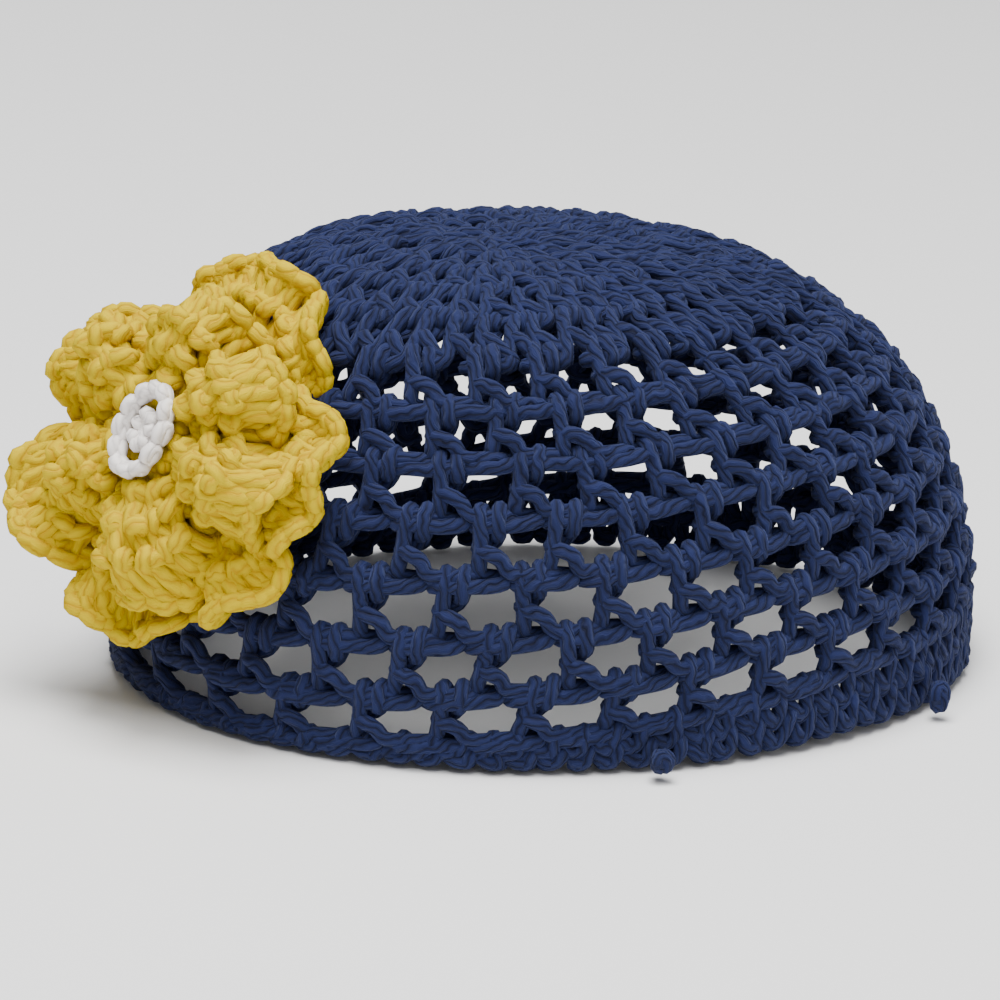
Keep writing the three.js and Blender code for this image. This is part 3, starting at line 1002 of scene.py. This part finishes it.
crownCounts = [8, 19, 31, 42, 52]
for i, count in enumerate(crownCounts):
    stitchRound(
        f"crown_round_{i + 1}", "crown", "navy_yarn", navyYarn, densePath, hatSurface,
        i, count, 0.3 * i, barLength(i + 0.5), navyMaterial, Slant=2.0 * mm, Bumpy=0.7 * mm)
print("crown made")

for i in range(guide["hemRounds"]):
    stitchRound(
        f"hem_round_{i + 1}", "hem_band", "navy_yarn", navyYarn, hemPath, hatSurface,
        lastBar + i, 84 + i, 0.4 * i, barLength(lastBar + i + 0.5), navyMaterial)
print("hem made")

for name, node, layer, surface, counts in (
    ("outer_petals", "flower_outer_petals", outerLayer, outerSurface, [20, 31, 43, 58]),
    ("inner_petals", "flower_inner_petals", innerLayer, innerSurface, [15, 24, 33, 47]),
):
    for i, count in enumerate(counts):
        stitchRound(
            f"{name}_round_{i + 1}", node, "yellow_yarn", yellowYarn, petalPath, surface,
            i, count, 0.3 * i, petalLength(layer, i + 0.7), yellowMaterial)
    stitchRound(
        f"{name}_rim", node, "yellow_yarn", yellowYarn, rimPath, surface,
        layer["rows"] - 1, counts[-1], 0.6, petalLength(layer, layer["rows"]), yellowMaterial)
print("petals made")

stitchRound(
    "centre_heart", "flower_centre", "white_yarn", whiteYarn, heartPath, centreSurface,
    0, centre["heartStitches"], 0.2, centre["heartLength"], whiteMaterial)
stitchRound(
    "centre_ring", "flower_centre", "white_yarn", whiteYarn, centrePath, centreSurface,
    1, centre["ringStitches"], 0.5, centre["ringLength"], whiteMaterial)
print("centre made")

for name, surface in (("hem_knot", knotSurface), ("hem_tail", tailSurface)):
    stitchRound(
        f"{name}_yarn", name, "navy_yarn", windYarn, windPath, surface,
        0, lump["cells"], 0.2, lump["length"], navyMaterial)
print("yarn ends made")

for template in (
    hatSurface, outerSurface, innerSurface, centreSurface,
    meshPath, densePath, hemPath, petalPath, rimPath, heartPath, centrePath,
    windPath, knotSurface, tailSurface,
):
    bpy.data.objects.remove(template)


# camera, light and floor

view = {
    "azimuth": 62.7,
    "elevation": 16.9,
    "roll": 3.22,
    "distance": 1.46,
    "aim": 0.0344,
    "lens": 246.5,
    "shiftX": -0.0449,
    "shiftY": 0.0025,
}


# soft lights: watts, size and place in metres
lights = [
    ("key", 14, 0.7, (0.7, -0.5, 1.3)),
    ("fill", 3, 1.2, (1.3, 0.4, 0.6)),
    ("top", 38, 0.8, (0.1, -0.1, 1.5)),
]
roomLight = 0.34


def placeCamera():
    data = bpy.data.cameras.new("camera")
    data.sensor_width = 36
    data.lens = view["lens"]
    data.shift_x = view["shiftX"]
    data.shift_y = view["shiftY"]
    data.clip_end = 20
    camera = bpy.data.objects.new("camera", data)
    bpy.context.scene.collection.objects.link(camera)
    a = math.radians(view["azimuth"])
    e = math.radians(view["elevation"])
    r = math.radians(view["roll"])
    back = Vector((math.sin(a) * math.cos(e), -math.cos(a) * math.cos(e), math.sin(e)))
    right = Vector((math.cos(a), math.sin(a), 0))
    up = back.cross(right)
    tiltedRight = right * math.cos(r) + up * math.sin(r)
    tiltedUp = up * math.cos(r) - right * math.sin(r)
    turned = Matrix((tiltedRight, tiltedUp, back)).transposed().to_4x4()
    aim = hatMiddle + Vector((0, 0, view["aim"]))
    camera.matrix_world = Matrix.Translation(aim + back * view["distance"]) @ turned
    bpy.context.scene.camera = camera


def placeLight(name, power, size, place):
    data = bpy.data.lights.new(name, "AREA")
    data.energy = power
    data.size = size
    light = bpy.data.objects.new(name, data)
    bpy.context.scene.collection.objects.link(light)
    light.location = place
    light.rotation_euler = (Vector((0, 0, 0.05)) - Vector(place)).to_track_quat("-Z", "Y").to_euler()


def placeStudio():
    bpy.ops.mesh.primitive_plane_add(size=6, location=(0, 0, 0))
    floor = bpy.context.object
    floor.name = "floor"
    paint = bpy.data.materials.new("floorPaint")
    paint.use_nodes = True
    paint.node_tree.nodes["Principled BSDF"].inputs["Base Color"].default_value = (0.86, 0.86, 0.86, 1)
    paint.node_tree.nodes["Principled BSDF"].inputs["Roughness"].default_value = 0.9
    floor.data.materials.append(paint)
    world = bpy.data.worlds.new("studio")
    bpy.context.scene.world = world
    world.use_nodes = True
    world.node_tree.nodes["Background"].inputs["Color"].default_value = (1, 1, 1, 1)
    world.node_tree.nodes["Background"].inputs["Strength"].default_value = roomLight
    for name, power, size, place in lights:
        placeLight(name, power, size, place)


placeCamera()
placeStudio()
